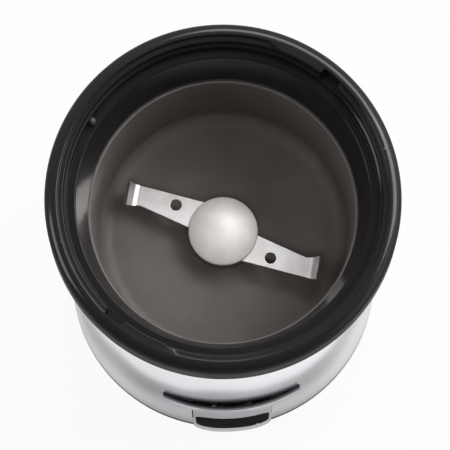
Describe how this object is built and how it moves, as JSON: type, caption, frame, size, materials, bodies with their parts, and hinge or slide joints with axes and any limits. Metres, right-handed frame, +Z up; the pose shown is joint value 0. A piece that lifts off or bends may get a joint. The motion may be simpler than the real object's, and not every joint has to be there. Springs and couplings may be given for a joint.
{
  "type": "electric spice grinder",
  "caption": "Upright blade grinder: polished steel body, black collar with a lid seat, grey bowl, spinning blade, front push-button and lid interlock pin.",
  "frame": {"origin": "on the table under the bowl's axis, at the underside of the feet", "axes": "+Z up along the motor shaft, front with the push-button towards -Y, +X to the user's right as they face it"},
  "size_m": [0.09, 0.09, 0.117],
  "materials": {
    "black_gloss": "glossy moulded black plastic",
    "bowl_grey": "matt warm grey plastic",
    "black_rubber": "matt rubber",
    "polished_steel": "mirror-polished stainless steel",
    "black_matt": "matt moulded plastic",
    "plated_steel": "zinc-plated steel",
    "seal_rubber": "silicone rubber",
    "bearing_bronze": "oil-filled sintered bronze",
    "bracket_alloy": "die-cast aluminium",
    "core_steel": "stacked electrical steel sheets",
    "copper_wire": "enamelled copper wire",
    "holder_brass": "drawn brass",
    "carbon": "pressed carbon",
    "switch_black": "matt moulded plastic",
    "filter_yellow": "potted plastic case",
    "wire_blue": "insulated lead",
    "blade_steel": "satin stainless steel",
    "pearl_cap": "satin pearl finish",
    "disc_plastic": "plain moulded plastic",
    "commutator_copper": "hard-drawn copper",
    "fan_plastic": "plain moulded plastic",
    "button_chrome": "chrome-plated plastic",
    "window_black": "glossy black insert",
    "plunger_red": "moulded plastic"
  },
  "bodies": {
    "housing": {"collar": "black_gloss", "grinding_bowl": "bowl_grey", "bowl_gasket": "black_rubber", "outer_shell": "polished_steel", "inner_frame": "black_matt", "base_cover": "black_matt", "rubber_feet": "black_rubber", "base_screws": "plated_steel", "cord_gland": "black_rubber", "shaft_seal": "seal_rubber", "upper_bearing": "bearing_bronze", "lower_bearing": "bearing_bronze", "upper_bracket": "bracket_alloy", "lower_bracket": "bracket_alloy", "stator_core": "core_steel", "stator_coils": "copper_wire", "motor_bolts": "plated_steel", "motor_nuts": "plated_steel", "motor_mounts": "black_rubber", "mount_screws": "plated_steel", "brush_holders": "holder_brass", "carbon_brushes": "carbon", "brush_springs": "plated_steel", "power_switch": "switch_black", "button_pocket": "black_matt", "lid_switch": "switch_black", "noise_filter": "filter_yellow", "lead_wires": "wire_blue", "button_spring": "plated_steel"},
    "rotor": {"blade": "blade_steel", "blade_cap": "pearl_cap", "splash_disc": "disc_plastic", "drive_shaft": "plated_steel", "armature_core": "core_steel", "armature_windings": "copper_wire", "commutator": "commutator_copper", "cooling_fan": "fan_plastic"},
    "button": {"power_button": "button_chrome", "button_window": "window_black"},
    "switch_plunger": {"switch_plunger": "plunger_red"},
    "interlock_pin": {"interlock_pin": "black_matt"},
    "lid_plunger": {"lid_switch_plunger": "plunger_red"}
  },
  "joints": [
    {"name": "blade_spin", "type": "hinge", "parent": "housing", "child": "rotor", "pos_m": [0, 0, 0.04], "axis": [0, 0, 1], "continuous": true},
    {"name": "button_press", "type": "slide", "parent": "housing", "child": "button", "axis": [0, 1, 0], "range_m": [0, 0.0022], "stiffness_N_per_m": 900, "springref_m": -0.002, "deforming": ["button_spring"]},
    {"name": "switch_press", "type": "slide", "parent": "housing", "child": "switch_plunger", "axis": [0, 1, 0], "range_m": [0, 0.0022], "stiffness_N_per_m": 300, "springref_m": -0.001},
    {"name": "pin_press", "type": "slide", "parent": "housing", "child": "interlock_pin", "axis": [0, 0, -1], "range_m": [0, 0.0022], "stiffness_N_per_m": 600, "springref_m": -0.002},
    {"name": "lid_switch_press", "type": "slide", "parent": "housing", "child": "lid_plunger", "axis": [0, 0, -1], "range_m": [0, 0.0022], "stiffness_N_per_m": 300, "springref_m": -0.001}
  ],
  "couplings": [
    {"joint": "switch_press", "follows": "button_press", "ratio": 1},
    {"joint": "lid_switch_press", "follows": "pin_press", "ratio": 1}
  ]
}
